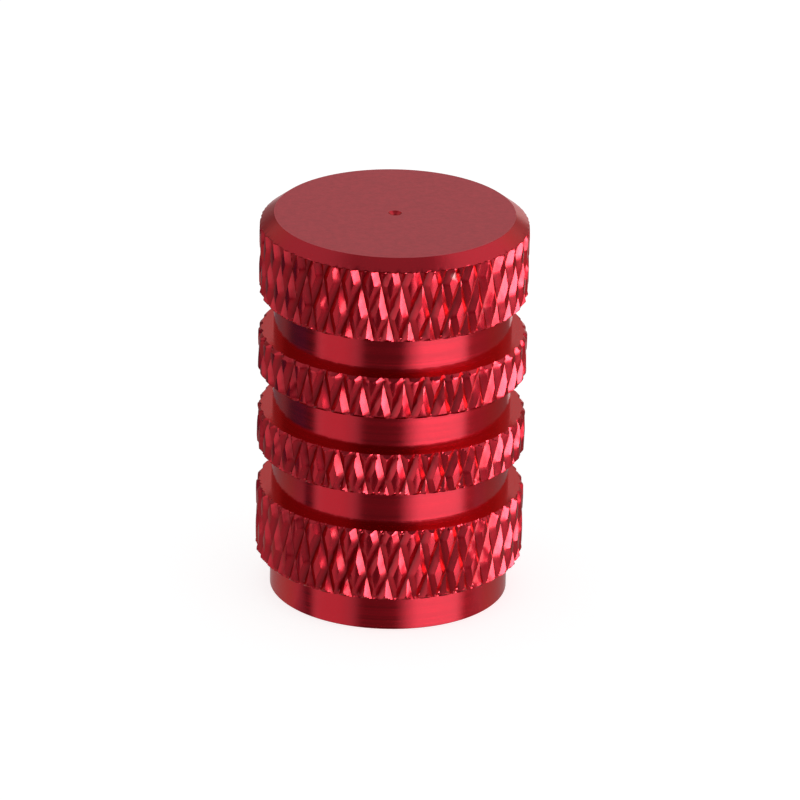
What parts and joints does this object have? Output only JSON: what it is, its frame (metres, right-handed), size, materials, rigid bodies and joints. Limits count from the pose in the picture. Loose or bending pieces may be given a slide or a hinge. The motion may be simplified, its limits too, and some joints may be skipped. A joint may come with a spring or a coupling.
{
  "type": "tyre valve cap",
  "caption": "Short round screw cap for a tyre valve: turned, with diamond knurled bands between plain grooves, a bevelled flat top, a blind threaded hole and a rubber seal washer.",
  "frame": {"origin": "centre of the open end's rim, on the cap's axis, where the cap stands on a surface", "axes": "+Z along the cap's axis, from the open end to the closed top; the mark of rotation about Z is arbitrary"},
  "size_m": [0.01, 0.01, 0.0148],
  "materials": {
    "anodised_red": "turned and knurled aluminium, anodised red: glossy groove floors and knurl, fine matt top",
    "black_rubber": "matt black moulded rubber"
  },
  "bodies": {
    "root": {"cap_body": "anodised_red", "seal_washer": "black_rubber"}
  },
  "joints": []
}
